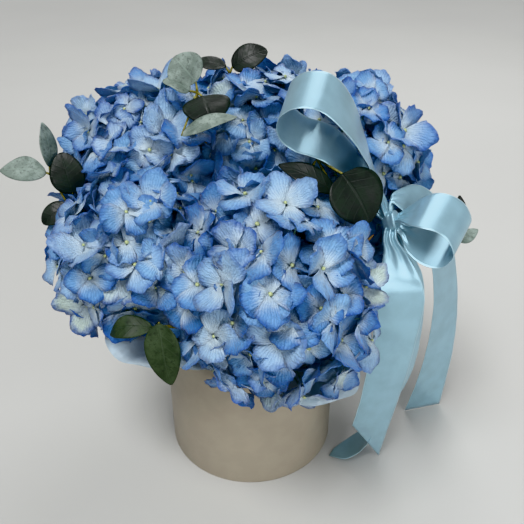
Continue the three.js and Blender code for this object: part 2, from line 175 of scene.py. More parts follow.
class FlowerBoxSettings(bpy.types.PropertyGroup):
    """All the settings of the flower box."""

    box: PointerProperty(type=BoxSettings)
    film: PointerProperty(type=FilmSettings)
    bloom: PointerProperty(type=BloomSettings)
    foliage: PointerProperty(type=FoliageSettings)
    ribbon: PointerProperty(type=RibbonSettings)
    stage: PointerProperty(type=StageSettings)


# ---------------------------------------------------------------- materials
# The kinds of node used most, and the settings they are used with.
COORDINATES, NOISE, BUMP = "ShaderNodeTexCoord", "ShaderNodeTexNoise", "ShaderNodeBump"
MATHS, RANGE, MIX = "ShaderNodeMath", "ShaderNodeMapRange", "ShaderNodeMix"
SMOOTH = {"interpolation_type": "SMOOTHSTEP"}
COLOURS = {"data_type": "RGBA"}


def add_node(tree, kind, inputs=(), output=0, **settings):
    """Adds a node with its settings, gives its inputs their values or links, and returns an output.

    inputs is a tuple in the node's own order, or a dictionary by name or place.
    """
    made = tree.nodes.new(kind)
    for key, value in settings.items():
        setattr(made, key, value)
    for key, value in (inputs if isinstance(inputs, dict) else dict(enumerate(inputs))).items():
        if isinstance(value, bpy.types.NodeSocket):
            tree.links.new(value, made.inputs[key])
        else:
            made.inputs[key].default_value = value
    return made.outputs[output]


def tinted(shade, gain=1.0):
    """A colour made lighter or darker, with full opacity."""
    return (*(min(1, gain * c) for c in shade), 1)


def new_material(name, surface):
    """A material with its tree, its shader and the shader's uniform values."""
    made = bpy.data.materials.new(name)
    made.use_nodes = True
    shader = made.node_tree.nodes["Principled BSDF"]
    for key, value in surface.items():
        shader.inputs[key].default_value = value
    return made, made.node_tree, shader


def connect(tree, shader, sources):
    """Links outputs to the shader's inputs by their names."""
    for key, source in sources.items():
        tree.links.new(source, shader.inputs[key])


def clouded(tree, place, size, first, second, span=(0.35, 0.65), detail=3, roughness=0.5):
    """A colour that drifts between two tones in clouds that are `size` millimetres across."""
    cloud = add_node(tree, NOISE, {
        "Vector": place, "Scale": 1 / mm(size), "Detail": detail, "Roughness": roughness})
    share = add_node(tree, RANGE, (cloud, *span), **SMOOTH)
    return add_node(tree, MIX, {0: share, 6: first, 7: second}, 2, **COLOURS)


def grained(tree, place, size, depth):
    """A normal for an even grain, with its size and its depth in millimetres."""
    grain = add_node(tree, NOISE, {"Vector": place, "Scale": 1 / mm(size), "Detail": 3})
    return add_node(tree, BUMP, {"Height": grain, "Strength": 1, "Distance": mm(depth)})


def sheet_coordinates(tree):
    """The across and along coordinates of a sheet's own UV map, from 0 to 1."""
    source = add_node(tree, "ShaderNodeUVMap", uv_map="UVMap")
    parted = add_node(tree, "ShaderNodeSeparateXYZ", (source,)).node
    return parted.outputs[0], parted.outputs[1]


def covering_paper(settings):
    """Matt uncoated covering paper: faint cloudy tone and a fine fibre tooth."""
    made, tree, shader = new_material("Taupe covering paper", {"Roughness": 0.45})
    place = add_node(tree, COORDINATES, output="Object")
    base = clouded(tree, place, 14, tinted(settings.paper, 0.97), tinted(settings.paper, 1.02))
    fibre = add_node(
        tree, NOISE, {"Vector": place, "Scale": 1 / mm(0.9), "Detail": 5, "Roughness": 0.65})
    worn = add_node(tree, RANGE, (fibre, 0.2, 0.8, 0.38, 0.5), **SMOOTH)
    normal = add_node(tree, BUMP, {"Height": fibre, "Strength": 1, "Distance": mm(0.05)})
    connect(tree, shader, {"Base Color": base, "Roughness": worn, "Normal": normal})
    return made


def grey_board(settings):
    """Uncovered grey board: pulpy, with darker flecks of recycled fibre."""
    made, tree, shader = new_material("Grey board", {"Roughness": 0.85})
    place = add_node(tree, COORDINATES, output="Object")
    plain, fleck = tinted(settings.board), tinted(settings.board, 0.6)
    base = clouded(tree, place, 1.5, plain, fleck, (0.6, 0.72), 6, 0.7)
    normal = grained(tree, place, 0.8, 0.08)
    connect(tree, shader, {"Base Color": base, "Normal": normal})
    return made


def frosted_film(settings):
    """Frosted polypropylene film: milky, half see-through, with fine creases that catch light."""
    made, tree, shader = new_material(
        "Frosted polypropylene film", {"Roughness": 0.3, "IOR": 1.49, "Alpha": 0.74})
    place = add_node(tree, COORDINATES, output="Object")
    base = clouded(tree, place, 9, tinted(settings.film), tinted(settings.film, 1.2))
    soft = add_node(
        tree, NOISE, {"Vector": place, "Scale": 1 / mm(22), "Detail": 4, "Roughness": 0.6})
    # A crease is sharp where the noise crosses its middle value, as in crumpled film.
    offset = add_node(tree, MATHS, (soft, 0.5), operation="SUBTRACT")
    ridge = add_node(tree, MATHS, (offset,), operation="ABSOLUTE")
    crease = add_node(tree, MATHS, (ridge, -1.6, soft), operation="MULTIPLY_ADD")
    normal = add_node(tree, BUMP, {"Height": crease, "Strength": 0.7, "Distance": mm(2.2)})
    connect(tree, shader, {"Base Color": base, "Normal": normal})
    return made


def liner_plastic(settings):
    """Thin vacuum-formed polypropylene: smooth, milky and slightly wavy."""
    made, tree, shader = new_material(
        "Vacuum-formed polypropylene", {"Roughness": 0.3, "IOR": 1.49})
    place = add_node(tree, COORDINATES, output="Object")
    base = clouded(tree, place, 12, tinted(settings.liner), tinted(settings.liner, 0.9))
    normal = grained(tree, place, 8, 0.3)
    connect(tree, shader, {"Base Color": base, "Normal": normal})
    return made


def floral_foam(settings):
    """Wet phenolic foam: fine open cells that read as a dark velvety green."""
    made, tree, shader = new_material("Wet phenolic foam", {"Roughness": 0.95})
    place = add_node(tree, COORDINATES, output="Object")
    cells = add_node(tree, "ShaderNodeTexVoronoi", {"Vector": place, "Scale": 1 / mm(0.8)})
    base = clouded(tree, place, 18, tinted(settings.foam, 0.6), tinted(settings.foam))
    normal = add_node(tree, BUMP, {"Height": cells, "Strength": 1, "Distance": mm(0.4)})
    connect(tree, shader, {"Base Color": base, "Normal": normal})
    return made


def sepal_skin(settings):
    """Fresh hydrangea sepal: a thin soft skin with a pale throat, a deeper margin and fine veins
    that run out from the base, lit a little from behind."""
    made, tree, shader = new_material(
        "Fresh hydrangea sepal", {"Roughness": 0.42, "Sheen Weight": 0.25})
    across, along = sheet_coordinates(tree)
    tint = add_node(tree, "ShaderNodeAttribute", output="Color", attribute_name="floret")
    shade, paleness, sepal = add_node(tree, "ShaderNodeSeparateColor", (tint,)).node.outputs
    place = add_node(tree, COORDINATES, output="Object")
    mottle = add_node(
        tree, NOISE, {"Vector": place, "Scale": 1 / mm(6), "Detail": 5, "Roughness": 0.62})
    cloud = add_node(tree, NOISE, {"Vector": place, "Scale": 1 / mm(17), "Detail": 3})
    side = add_node(tree, MATHS, (across, 2, -1), operation="MULTIPLY_ADD")

    # Veins fan out from the base: a wave of the angle about a point below it, made to wander.
    narrow = add_node(tree, MATHS, (side, 0.6), operation="MULTIPLY")
    raised = add_node(tree, MATHS, (along, 0.25), operation="ADD")
    angle = add_node(tree, MATHS, (narrow, raised), operation="ARCTAN2")
    stray = add_node(
        tree, NOISE, {"Vector": place, "Scale": 1 / mm(5), "Detail": 4, "Roughness": 0.65})
    wander = add_node(tree, MATHS, (stray, 14), operation="MULTIPLY")
    phase = add_node(tree, MATHS, (angle, 58, wander), operation="MULTIPLY_ADD")
    wave = add_node(tree, MATHS, (phase,), operation="SINE")
    vein = add_node(tree, RANGE, (wave, -0.1, 1), **SMOOTH)

    # The distance from the middle of the sepal gives the margin, the way along gives the throat.
    up = add_node(tree, MATHS, (along, 1.95, -1.01), operation="MULTIPLY_ADD")
    wide = add_node(tree, MATHS, (side, side), operation="MULTIPLY")
    square = add_node(tree, MATHS, (up, up, wide), operation="MULTIPLY_ADD")
    reach = add_node(tree, MATHS, (square,), operation="SQRT")
    edge = add_node(tree, MATHS, (mottle, 0.75, reach), operation="MULTIPLY_ADD")
    rim = add_node(tree, RANGE, (edge, 0.85, 1.4), **SMOOTH)
    fan = add_node(tree, MATHS, (vein, 0.06, along), operation="MULTIPLY_ADD")
    fan = add_node(tree, MATHS, (mottle, -0.5, fan), operation="MULTIPLY_ADD")
    throat = add_node(tree, RANGE, (fan, 0.5, -0.15), **SMOOTH)

    age = add_node(tree, MATHS, (shade, 0.75), operation="MULTIPLY")
    tone = add_node(tree, MATHS, (cloud, 0.6, age), operation="MULTIPLY_ADD")
    tone = add_node(tree, RANGE, (tone, 0.15, 1.05), **SMOOTH)
    blue, pale = tinted(settings.blue), tinted(settings.pale)
    white, deep = tinted(settings.white), tinted(settings.deep)
    base = add_node(tree, MIX, {0: tone, 6: blue, 7: pale}, 2, **COLOURS)
    share = add_node(tree, MATHS, (paleness, 0.8), operation="MULTIPLY")
    base = add_node(tree, MIX, {0: share, 6: base, 7: white}, 2, **COLOURS)
    young = add_node(tree, MATHS, (mottle, 0.35, paleness), operation="MULTIPLY_ADD")
    young = add_node(tree, RANGE, (young, 0.78, 1.12, 0, 0.75), **SMOOTH)
    base = add_node(tree, MIX, {0: young, 6: base, 7: tinted(settings.cream)}, 2, **COLOURS)
    depth = add_node(tree, MATHS, (shade, -0.4, 0.95), operation="MULTIPLY_ADD")
    depth = add_node(tree, MATHS, (rim, depth), operation="MULTIPLY")
    base = add_node(tree, MIX, {0: depth, 6: base, 7: deep}, 2, **COLOURS)
    bright = add_node(tree, MATHS, (sepal, 0.35, 0.65), operation="MULTIPLY_ADD")
    bright = add_node(tree, MATHS, (throat, bright), operation="MULTIPLY")
    base = add_node(tree, MIX, {0: bright, 6: base, 7: white}, 2, **COLOURS)
    marked = add_node(tree, MATHS, (sepal, 0.1, 0.02), operation="MULTIPLY_ADD")
    marked = add_node(tree, MATHS, (vein, marked), operation="MULTIPLY")
    base = add_node(tree, MIX, {0: marked, 6: base, 7: deep}, 2, **COLOURS)

    crumple = add_node(
        tree, NOISE, {"Vector": place, "Scale": 1 / mm(4.5), "Detail": 4, "Roughness": 0.62})
    furrow = add_node(tree, MATHS, (vein, 0.35), operation="MULTIPLY")
    relief = add_node(tree, MATHS, (crumple, 2.6, furrow), operation="MULTIPLY_ADD")
    normal = add_node(tree, BUMP, {"Height": relief, "Strength": 0.9, "Distance": mm(1.2)})
    connect(tree, shader, {"Base Color": base, "Normal": normal})
    behind = add_node(tree, "ShaderNodeBsdfTranslucent", {"Color": base, "Normal": normal})
    both = add_node(tree, "ShaderNodeMixShader", (0.22, shader.outputs[0], behind))
    tree.links.new(both, tree.nodes["Material Output"].inputs["Surface"])
    return made


def plant_skin(name, base, roughness, grain):
    """Living green tissue, such as a stalk or a bead: slightly glossy, with blotches of tone."""
    made, tree, shader = new_material(name, {"Roughness": roughness})
    place = add_node(tree, COORDINATES, output="Object")
    tone = clouded(tree, place, grain, tinted(base, 0.68), tinted(base))
    normal = grained(tree, place, grain / 4, 0.2)
    connect(tree, shader, {"Base Color": tone, "Normal": normal})
    return made


def long_grain(name, base, roughness, grain, stretch, gain):
    """Wood or bark whose flecks are drawn out along Z: young eucalyptus bark, or raw birch."""
    made, tree, shader = new_material(name, {"Roughness": roughness})
    place = add_node(tree, COORDINATES, output="Object")
    drawn = add_node(tree, "ShaderNodeMapping", {"Vector": place, "Scale": (1, 1, stretch)})
    flecks = add_node(tree, NOISE, {"Vector": drawn, "Scale": 1 / mm(grain), "Detail": 4})
    fleck = add_node(tree, RANGE, (flecks, 0.4, 0.65), **SMOOTH)
    plain, dark = tinted(base), tinted(base, gain)
    tone = add_node(tree, MIX, {0: fleck, 6: plain, 7: dark}, 2, **COLOURS)
    normal = add_node(tree, BUMP, {"Height": fleck, "Strength": 1, "Distance": mm(0.12)})
    connect(tree, shader, {"Base Color": tone, "Normal": normal})
    return made


def leaf_skin(name, base, bloom, roughness, vein_gain):
    """Leathery eucalyptus leaf: a pale midrib, side veins in the surface, and a chalky bloom
    that clouds the green in patches."""
    made, tree, shader = new_material(name, {"Roughness": roughness})
    across, along = sheet_coordinates(tree)
    place = add_node(tree, COORDINATES, output="Object")
    side = add_node(tree, MATHS, (across, 2, -1), operation="MULTIPLY_ADD")
    side = add_node(tree, MATHS, (side,), operation="ABSOLUTE")
    midrib = add_node(tree, RANGE, (side, 0.075, 0.02), **SMOOTH)

    # Side veins leave the midrib at a slant and wander a little.
    stray = add_node(tree, NOISE, {"Vector": place, "Scale": 1 / mm(9), "Detail": 3})
    slant = add_node(tree, MATHS, (side, -9), operation="MULTIPLY")
    slant = add_node(tree, MATHS, (along, 42, slant), operation="MULTIPLY_ADD")
    slant = add_node(tree, MATHS, (stray, 2, slant), operation="MULTIPLY_ADD")
    wave = add_node(tree, MATHS, (slant,), operation="SINE")
    ribs = add_node(tree, RANGE, (wave, 0.75, 1), **SMOOTH)

    chalk = add_node(
        tree, NOISE, {"Vector": place, "Scale": 1 / mm(11), "Detail": 5, "Roughness": 0.6})
    cloud = add_node(tree, RANGE, (chalk, 0.38, 0.66), **SMOOTH)
    tone = add_node(tree, MIX, {0: cloud, 6: tinted(base), 7: tinted(bloom)}, 2, **COLOURS)
    specks = add_node(
        tree, NOISE, {"Vector": place, "Scale": 1 / mm(2.2), "Detail": 6, "Roughness": 0.7})
    spots = add_node(tree, RANGE, (specks, 0.51, 0.64, 0, 0.7), **SMOOTH)
    tone = add_node(tree, MIX, {0: spots, 6: tone, 7: tinted(base, 0.45)}, 2, **COLOURS)
    lighter = tinted([1.7 * c + 0.03 for c in base])
    faint = add_node(tree, MATHS, (ribs, 0.35 * vein_gain), operation="MULTIPLY")
    tone = add_node(tree, MIX, {0: faint, 6: tone, 7: lighter}, 2, **COLOURS)
    clear = add_node(tree, MATHS, (midrib, vein_gain), operation="MULTIPLY")
    tone = add_node(tree, MIX, {0: clear, 6: tone, 7: lighter}, 2, **COLOURS)

    relief = add_node(tree, MATHS, (ribs, 0.4, midrib), operation="MULTIPLY_ADD")
    fine = add_node(tree, NOISE, {"Vector": place, "Scale": 1 / mm(1.4), "Detail": 3})
    relief = add_node(tree, MATHS, (fine, 0.5, relief), operation="MULTIPLY_ADD")
    normal = add_node(tree, BUMP, {"Height": relief, "Strength": 0.7, "Distance": mm(0.3)})
    worn = add_node(tree, RANGE, (cloud, 0, 1, roughness - 0.06, roughness + 0.12), **SMOOTH)
    connect(tree, shader, {"Base Color": tone, "Roughness": worn, "Normal": normal})
    return made


def satin_weave(settings):
    """Double-face polyester satin: long floats give a soft stretched highlight, and the selvedge
    at each edge is a duller, paler twill. The weft is drawn at 1 mm so that it shows.

    The metallic share stands for the lustre of the filaments, which tint what they reflect.
    """
    roughness = 0.29
    made, tree, shader = new_material(
        "Double-face polyester satin",
        {"Metallic": 0.48, "Roughness": roughness, "Anisotropic": 0.7, "Sheen Weight": 0.12})
    across, along = sheet_coordinates(tree)
    place = add_node(tree, COORDINATES, output="Object")
    side = add_node(tree, MATHS, (across, 2, -1), operation="MULTIPLY_ADD")
    side = add_node(tree, MATHS, (side,), operation="ABSOLUTE")
    selvedge = add_node(tree, RANGE, (side, 0.955, 0.975), **SMOOTH)
    dark, plain = tinted(settings.satin, 0.88), tinted(settings.satin)
    tone = clouded(tree, place, 16, dark, plain, (0.3, 0.7))
    border = tinted(settings.selvedge)
    tone = add_node(tree, MIX, {0: selvedge, 6: tone, 7: border}, 2, **COLOURS)

    threads = settings.width / mm(1)
    turns = add_node(tree, MATHS, (across, threads * 2 * math.pi), operation="MULTIPLY")
    thread = add_node(tree, MATHS, (turns,), operation="SINE")
    thread = add_node(tree, MATHS, (thread, 0.15), operation="MULTIPLY")
    rows = add_node(tree, MATHS, (along, 2 * math.pi), operation="MULTIPLY")
    weft = add_node(tree, MATHS, (rows,), operation="SINE")
    weave = add_node(tree, MATHS, (weft, 0.5, thread), operation="MULTIPLY_ADD")
    weave = add_node(tree, MATHS, (selvedge, 1.5, weave), operation="MULTIPLY_ADD")
    normal = add_node(tree, BUMP, {"Height": weave, "Strength": 0.6, "Distance": mm(0.03)})
    worn = add_node(tree, RANGE, (selvedge, 0, 1, roughness, 0.5), **SMOOTH)
    tangent = add_node(tree, "ShaderNodeTangent", direction_type="UV_MAP", uv_map="UVMap")
    connect(tree, shader, {
        "Base Color": tone, "Roughness": worn,
        "Normal": normal, "Tangent": tangent})
    return made


def floor_plaster(settings):
    """Plain matt floor with a barely visible cloudiness."""
    made, tree, shader = new_material("Matt plaster floor", {"Roughness": 0.8})
    place = add_node(tree, COORDINATES, output="Object")
    dark, plain = tinted(settings.floor, 0.97), tinted(settings.floor)
    base = clouded(tree, place, 400, dark, plain, (0.3, 0.7))
    connect(tree, shader, {"Base Color": base})
    return made


# ---------------------------------------------------------------- making pieces
def finished(bm, name, material, stands_for=(), thickness=None, smooth=True):
    """Makes a piece of a bmesh, gives it its material and body, and a thickness if it's a sheet."""
    mesh = bpy.data.meshes.new(name)
    bm.to_mesh(mesh)
    bm.free()
    piece = bpy.data.objects.new(name, mesh)
    bpy.context.collection.objects.link(piece)
    mesh.materials.append(material)
    if smooth:
        mesh.shade_smooth()
    if thickness:
        shell = piece.modifiers.new("Thickness", "SOLIDIFY")
        shell.thickness = thickness
        shell.offset = 0
    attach(piece, BODY)
    if stands_for:
        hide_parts(*stands_for)
    return piece


def spun(profile, steps, close=True):
    """A bmesh turned about Z from a list of (radius, height) points in metres."""
    bm = bmesh.new()
    line = [bm.verts.new((radius, 0, height)) for radius, height in profile]
    edges = [bm.edges.new(pair) for pair in zip(line, line[1:])]
    if close:
        edges.append(bm.edges.new((line[-1], line[0])))
    bmesh.ops.spin(bm, geom=line + edges, cent=(0, 0, 0), axis=(0, 0, 1), angle=2 * math.pi,
                   steps=steps, use_merge=True, use_duplicate=False)
    bmesh.ops.remove_doubles(bm, verts=bm.verts, dist=mm(0.005))
    bmesh.ops.recalc_face_normals(bm, faces=bm.faces)
    return bm


def rounded(node, name, material, levels=2):
    """A smooth copy of a CAD rod, which stands for it."""
    bm = bmesh.new()
    bm.from_mesh(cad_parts[node].data)
    bmesh.ops.remove_doubles(bm, verts=bm.verts, dist=mm(0.01))
    bmesh.ops.dissolve_limit(bm, angle_limit=math.radians(0.5), verts=bm.verts, edges=bm.edges)
    piece = finished(bm, name, material, [node])
    subdivision = piece.modifiers.new("Round", "SUBSURF")
    subdivision.levels = subdivision.render_levels = levels
    return piece


def recoat(node, material):
    """Gives a CAD node a finished material."""
    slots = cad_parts[node].data.materials
    slots.clear()
    slots.append(material)


# ---------------------------------------------------------------- box
PAPER = mm(0.3)  # thickness of the covering paper, which shows where it laps over itself


def make_box(settings):
    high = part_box("box_wall")[1]
    radius, height, wall = high.x, high.z, settings.wall
    inner, lip, foot = radius - wall, wall / 2, mm(0.8)
    turns = [math.radians(a) for a in (0, 30, 60, 90, 120, 150, 180)]
    rim = [(radius - lip + lip * math.cos(a), height - lip + lip * math.sin(a)) for a in turns]
    profile = [(inner, 0), (radius - foot, 0), (radius - 0.3 * foot, 0.3 * foot), (radius, foot),
               (radius, 0.5 * height), *rim, (inner, 0.5 * height)]
    bm = spun(profile, steps=160)
    lap = settings.lap / radius
    for vert in bm.verts:
        azimuth = math.atan2(vert.co.y, vert.co.x)
        out = math.hypot(vert.co.x, vert.co.y)
        if out > radius - 0.5 * lip and math.pi / 2 < azimuth < math.pi / 2 + lap:
            vert.co.x *= 1 + PAPER / out
            vert.co.y *= 1 + PAPER / out
    finished(bm, "hat_box_wall", covering_paper(settings), ["box_wall"])

    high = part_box("box_base")[1]
    edge, top, soft = high.x, high.z, mm(0.5)
    profile = [(0, 0), (edge - soft, 0), (edge, soft), (edge, top - soft), (edge - soft, top),
               (0, top)]
    finished(spun(profile, steps=128, close=False), "hat_box_base", grey_board(settings),
             ["box_base"], smooth=False)


# ---------------------------------------------------------------- film collar, liner and foam
# The flare of the collar, in millimetres: its least and greatest reach past the wall, how much it
# rises on average and how far it tips, and its rows, each a share of the reach with a lift.
FILM_REACH = (20, 53)
FILM_RISE = (-9, 15)
FILM_ROWS = ((0, 0.9), (0.12, 1.9), (0.3, 2.4), (0.48, 2.4), (0.65, 2.0), (0.85, 1.1), (1, 0))
FILM_CORNER_AZIMUTH = math.radians(212)  # the way one of its four corners points
FILM_TIP_AZIMUTH = math.radians(200)  # the way it tips up most
FILM_RING, FILM_RING_STEP = 40, 10  # rings past the wall that mark the rows until they are placed


def film_place(azimuth, share, lift):
    """A point of the flared collar: share 0 is over the rim and 1 is the free edge."""
    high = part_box("box_wall")[1]
    cornered = (0.5 + 0.5 * math.cos(4 * (azimuth - FILM_CORNER_AZIMUTH))) ** 1.4
    reach = mm(FILM_REACH[0] + (FILM_REACH[1] - FILM_REACH[0]) * cornered)
    rise = mm(FILM_RISE[0] + FILM_RISE[1] * math.cos(azimuth - FILM_TIP_AZIMUTH))
    pleat = math.sin(23 * azimuth + 1.5 * math.sin(3 * azimuth))
    fold = math.sin(9 * azimuth + 2 * math.sin(2 * azimuth + 1))
    ripple = mm(1.1 * share * pleat + 2.4 * share**1.5 * fold)
    out = high.x + mm(1) + share * reach
    return Vector((out * math.cos(azimuth), out * math.sin(azimuth),
                   high.z + mm(0.6) + lift + share * rise + ripple))


def make_film(settings, wall):
    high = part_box("box_wall")[1]
    inner = high.x - wall - mm(0.65)
    rings = [(high.x + mm(FILM_RING + FILM_RING_STEP * i), lift)
             for i, (share, lift) in enumerate(FILM_ROWS)]
    profile = [(inner, high.z - settings.tuck), (inner, high.z - 0.5 * settings.tuck),
               (inner, high.z - mm(3)), (inner + mm(0.2), high.z + mm(0.5)), *rings]
    bm = spun(profile, steps=216, close=False)
    for vert in bm.verts:
        out = math.hypot(vert.co.x, vert.co.y)
        azimuth = math.atan2(vert.co.y, vert.co.x)
        row = round((out - high.x - mm(FILM_RING)) / mm(FILM_RING_STEP))
        if row >= 0:
            share, lift = FILM_ROWS[row]
            vert.co = film_place(azimuth, share, mm(lift))
    piece = finished(bm, "frosted_film_collar", frosted_film(settings), ["film_collar"],
                     thickness=settings.thickness)


def make_lining(settings, foliage):
    recoat("liner_cup", liner_plastic(settings))
    recoat("foam_block", floral_foam(foliage))


# ---------------------------------------------------------------- flower heads
# Middle and radii of each head, and how far it reaches under its middle.
HEADS = {
    "front": ((22, -54, 193), (86, 86, 92), 92),
    "left": ((-84, -10, 203), (75, 78, 76), 76),
    "right": ((76, 44, 237), (75, 80, 92), 88),
    "back": ((12, 64, 264), (74, 70, 68), 116),
    "back_left": ((-80, 60, 250), (78, 76, 70), 102),
}


class Head:
    """One mophead: an egg-shaped dome that florets stand on."""

    def __init__(self, name):
        middle, radii, below = HEADS[name]
        self.name = name
        self.middle = mm(*middle)
        self.radii = mm(*radii)
        self.below = mm(below)

    def dome(self, direction):
        """The point of the dome in a direction, and the dome's outward normal there."""
        height = self.below if direction.z < 0 else self.radii.z
        radii = Vector((self.radii.x, self.radii.y, height))
        point = self.middle + direction * radii
        normal = Vector([direction[i] / radii[i] for i in range(3)]).normalized()
        return point, normal

    def reach(self, direction):
        return 1 / Vector([direction[i] / self.radii[i] for i in range(3)]).length

    def past(self, other, point):
        """How far a point is past the plane that parts this head from another one."""
        between = (other.middle - self.middle).normalized()
        share = self.reach(between) / (self.reach(between) + other.reach(between))
        plane = self.middle.lerp(other.middle, share)
        return (point - plane).dot(between)


def spread(count):
    """Directions spread evenly over a ball."""
    for i in range(count):
        z = 1 - (2 * i + 1) / count
        turn = i * math.pi * (3 - math.sqrt(5))
        out = math.sqrt(1 - z * z)
        yield Vector((out * math.cos(turn), out * math.sin(turn), z))


# How florets stand on a head, in millimetres: how deep under the dome, how much that varies, how
# far from the plane between two heads, and how far from the other pieces.
OUTER_DEPTH, INNER_DEPTH = 9, 26
DEPTH_SPREAD = (-3, 7)
HEADS_APART = 1
CLEAR_OF_FRONT_TAIL, CLEAR_OF_RIBBON, CLEAR_OF_LEAF = 47, 32, 13
CLEAR_OF_RIM, CLEAR_OF_FILM = 8, 7
MOST_CROWDED = 40  # a floret that would have to draw back further is left out
# Shares of one: how far a place and a facing stray, how much florets look up, and how far down
# the dome they go.
SCATTER, LEAN, LOOK_UP, LOWEST = 0.09, 0.34, 0.2, -0.8


def kept_clear():
    """Places that florets draw back from: the ribbon and the leaves, as (point, radius)."""
    places = []
    for name, stations in strips().items():
        middles = [station[0] for station in stations]
        count = 3 * len(middles)
        room = mm(CLEAR_OF_FRONT_TAIL if name == "tail_front" else CLEAR_OF_RIBBON)
        places += [(smooth_path(middles, i / count), room) for i in range(count + 1)]
    for _, base, tip, form in leaves():
        radius = mm(CLEAR_OF_LEAF) + 0.4 * mm(form[0])
        places += [(base.lerp(tip, t), radius) for t in (0.15, 0.5, 0.85)]
    return places


def floret_places(head, heads, count, depth, rng, clear):
    """Places for florets on a head, as (point, direction it faces)."""
    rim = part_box("box_wall")[1]
    for direction in spread(count):
        stray = Vector([rng.uniform(-1, 1) for _ in range(3)]) * SCATTER
        point, normal = head.dome((direction + stray).normalized())
        point -= normal * mm(depth + rng.uniform(*DEPTH_SPREAD))
        others = [other for other in heads if other is not head]
        if any(head.past(other, point) > -mm(HEADS_APART) for other in others):
            continue
        crowding = max(radius - (point - place).length for place, radius in clear)
        if crowding > mm(MOST_CROWDED):
            continue
        point -= normal * max(0, crowding)
        out = math.hypot(point.x, point.y)
        if out < rim.x and point.z < rim.z + mm(CLEAR_OF_RIM):
            continue
        azimuth = math.atan2(point.y, point.x)
        share = min(max((out - rim.x) / mm(40), 0), 1)
        if out < film_place(azimuth, 1, 0).xy.length and (
                point.z < film_place(azimuth, share, 0).z + mm(CLEAR_OF_FILM)):
            continue
        if normal.z < LOWEST:
            continue
        lean = Vector([rng.gauss(0, 1) for _ in range(3)]) * LEAN
        yield point, (normal + lean + Vector((0, 0, LOOK_UP))).normalized()


SEPAL_GRID = 7  # squares each way
# The thin parts of a floret, in millimetres.
SEPAL_THICKNESS, SEPAL_LAYER = 0.3, 0.9
BEAD_RADIUS, BEAD_RAISED = (1.2, 1.8), 2
STALK_RADIUS, BRANCH_RADIUS, BRANCH_STRAY = 0.8, 1.4, 4


def add_sepal(bm, layers, place, form, tint):
    """One sepal, from a flat grid rounded to a disc and then shaped.

    place moves it to its floret, and form is its length, width, cup, droop, wave and phase.
    """
    long, width, cup, droop, wave, phase = form
    grid = bmesh.ops.create_grid(
        bm, x_segments=SEPAL_GRID, y_segments=SEPAL_GRID, size=1, calc_uvs=True)
    uv, colours = layers
    for vert in grid["verts"]:
        # The square becomes a disc that narrows towards its base.
        x, y = vert.co.x, vert.co.y
        side = x * math.sqrt(1 - y * y / 2)
        up = (y * math.sqrt(1 - x * x / 2) + 1) / 2
        taper = 0.58 + 0.42 * smoothstep(0.0, 0.6, up)
        across = side * taper
        # It ruffles at the edge, crumples, cups, droops at the tip, and is creased down its
        # middle. All are shares of its length.
        edge = min(1, math.hypot(side, 2 * up - 1)) ** 3
        turn = math.atan2(side, up - 0.4)
        ruffle = wave * edge * math.sin(4 * turn + phase)
        crumple = 0.085 * noise.noise(Vector((2.1 * side + 9 * phase, 2.6 * up, phase)))
        crumple += 0.03 * noise.noise(Vector((5.5 * side, 6 * up + 7 * phase, phase)))
        rise = cup * up**1.5 - droop * up**3.5 - 0.16 * across**2 + 0.05 * edge
        crease = 0.04 * math.exp(-((across / 0.15) ** 2)) * (1 - 0.7 * up)
        # A short point at the tip and small teeth round the margin.
        point = 0.07 * math.exp(-((side / 0.22) ** 2)) * smoothstep(0.75, 1, up)
        tooth = 0.042 * edge * math.sin(19 * turn + 5 * phase)
        vert.co = place @ Vector((
            across * width / 2 * (1 + tooth),
            (up * (1 + tooth) + point + 0.02) * long,
            (rise - crease + ruffle + crumple * min(1, 3 * up)) * long))
        vert[colours] = tint
        for loop in vert.link_loops:
            loop[uv].uv = (0.5 + 0.5 * across, up)


def add_floret(bm, layers, point, facing, size, rng):
    """Four broad sepals in two crossed pairs that lap over one another like tiles."""
    turn = rng.uniform(0, 2 * math.pi)
    upright = facing.to_track_quat("Z", "Y").to_matrix().to_4x4()
    mood = rng.random()
    cup = rng.uniform(0.55, 0.95) if mood < 0.14 else rng.uniform(0.04, 0.42)
    shade, paleness = rng.random() ** 1.2, min(1, max(0, rng.gauss(0.0, 0.4)))
    lapping = rng.choice((-1, 1)) * rng.uniform(0.08, 0.3)
    for i in range(4):
        spin = Matrix.Rotation(turn + i * math.pi / 2 + rng.uniform(-0.2, 0.2), 4, "Z")
        roll = Matrix.Rotation(lapping + rng.uniform(-0.2, 0.2), 4, "Y")
        tilt = Matrix.Rotation(rng.uniform(-0.22, 0.26), 4, "X")
        layer = Matrix.Translation((0, 0, mm(SEPAL_LAYER) if i % 2 else 0))
        place = Matrix.Translation(point) @ upright @ layer @ spin @ tilt @ roll
        long = size * rng.uniform(0.82, 1.08)
        width = size * rng.uniform(0.98, 1.3)
        form = (long, width, cup * rng.uniform(0.6, 1.3), rng.uniform(0, 0.34),
                rng.uniform(0.02, 0.1), rng.uniform(0, 6.28))
        add_sepal(bm, layers, place, form, (shade, paleness, rng.random(), 1))


def add_rod(bm, start, end, radius, sides=5, end_share=0.7):
    """A thin tapering rod between two points."""
    along = end - start
    turn = along.to_track_quat("Z", "Y").to_matrix().to_4x4()
    place = Matrix.Translation(start.lerp(end, 0.5)) @ turn
    bmesh.ops.create_cone(bm, cap_ends=True, segments=sides, radius1=radius,
                          radius2=radius * end_share, depth=along.length, matrix=place)


